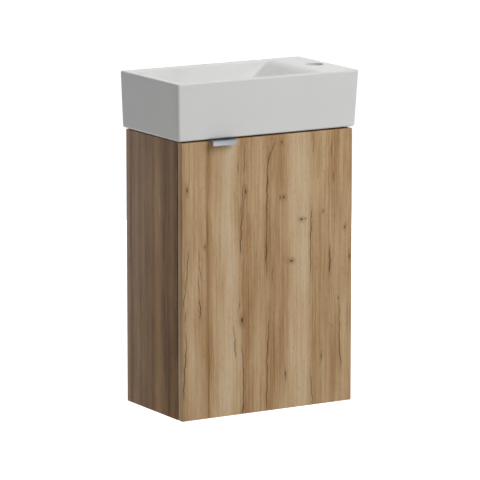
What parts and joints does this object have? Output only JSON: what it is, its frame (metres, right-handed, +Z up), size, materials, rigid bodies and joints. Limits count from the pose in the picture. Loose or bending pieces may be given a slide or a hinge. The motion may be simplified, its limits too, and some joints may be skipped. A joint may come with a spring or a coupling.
{
  "type": "wall-hung vanity unit",
  "caption": "Wall-hung vanity unit: a small rectangular basin with a tap ledge at the right, over a shallow oak-decor cabinet with a hinged door.",
  "frame": {"origin": "on the wall plane, midway between the two wall screw holes of the hanging plates", "axes": "+Z up, +Y towards the wall, so the door faces -Y, and +X to the right for someone in front of the unit"},
  "size_m": [0.3998, 0.23, 0.647],
  "materials": {
    "white_glaze": "gloss",
    "oak_decor": "matt, textured decor",
    "back_board": "matt",
    "handle_metal": "satin",
    "grey_plastic": "matt",
    "clear_bumper": "soft",
    "plated_steel": "nickel plated"
  },
  "bodies": {
    "cabinet": {"back_panel": "back_board", "basin": "white_glaze", "bottom_panel": "oak_decor", "front_top_rail": "oak_decor", "left_hanger_body": "grey_plastic", "left_hanger_cover": "grey_plastic", "left_hanger_hook": "plated_steel", "left_wall_plate": "plated_steel", "lower_hinge_arm": "plated_steel", "lower_hinge_plate": "plated_steel", "rear_top_rail": "oak_decor", "right_hanger_body": "grey_plastic", "right_hanger_cover": "grey_plastic", "right_hanger_hook": "plated_steel", "right_wall_plate": "plated_steel", "shelf": "oak_decor", "shelf_pins": "plated_steel", "side_panel_left": "oak_decor", "side_panel_right": "oak_decor", "upper_hinge_arm": "plated_steel", "upper_hinge_plate": "plated_steel"},
    "outer_links": {"upper_hinge_outer_link": "plated_steel", "lower_hinge_outer_link": "plated_steel"},
    "door": {"door": "oak_decor", "handle": "handle_metal", "door_bumpers": "clear_bumper", "upper_hinge_cup": "plated_steel", "lower_hinge_cup": "plated_steel"},
    "inner_links": {"upper_hinge_inner_link": "plated_steel", "lower_hinge_inner_link": "plated_steel"}
  },
  "joints": [
    {"name": "outer_link_turn", "type": "hinge", "parent": "cabinet", "child": "outer_links", "pos_m": [0.149, -0.182, 0], "axis": [0, 0, 1], "range_deg": [-30, 0]},
    {"name": "door_swing", "type": "hinge", "parent": "outer_links", "child": "door", "pos_m": [0.17865, -0.2002, 0], "axis": [0, 0, 1], "range_deg": [0, 125]},
    {"name": "inner_link_turn", "type": "hinge", "parent": "door", "child": "inner_links", "pos_m": [0.17805, -0.20345, 0], "axis": [0, 0, 1], "range_deg": [-147.5, 0]}
  ],
  "couplings": [
    {"joint": "outer_link_turn", "follows": "door_swing", "ratio": -0.23954},
    {"joint": "inner_link_turn", "follows": "door_swing", "ratio": -1.1779}
  ]
}
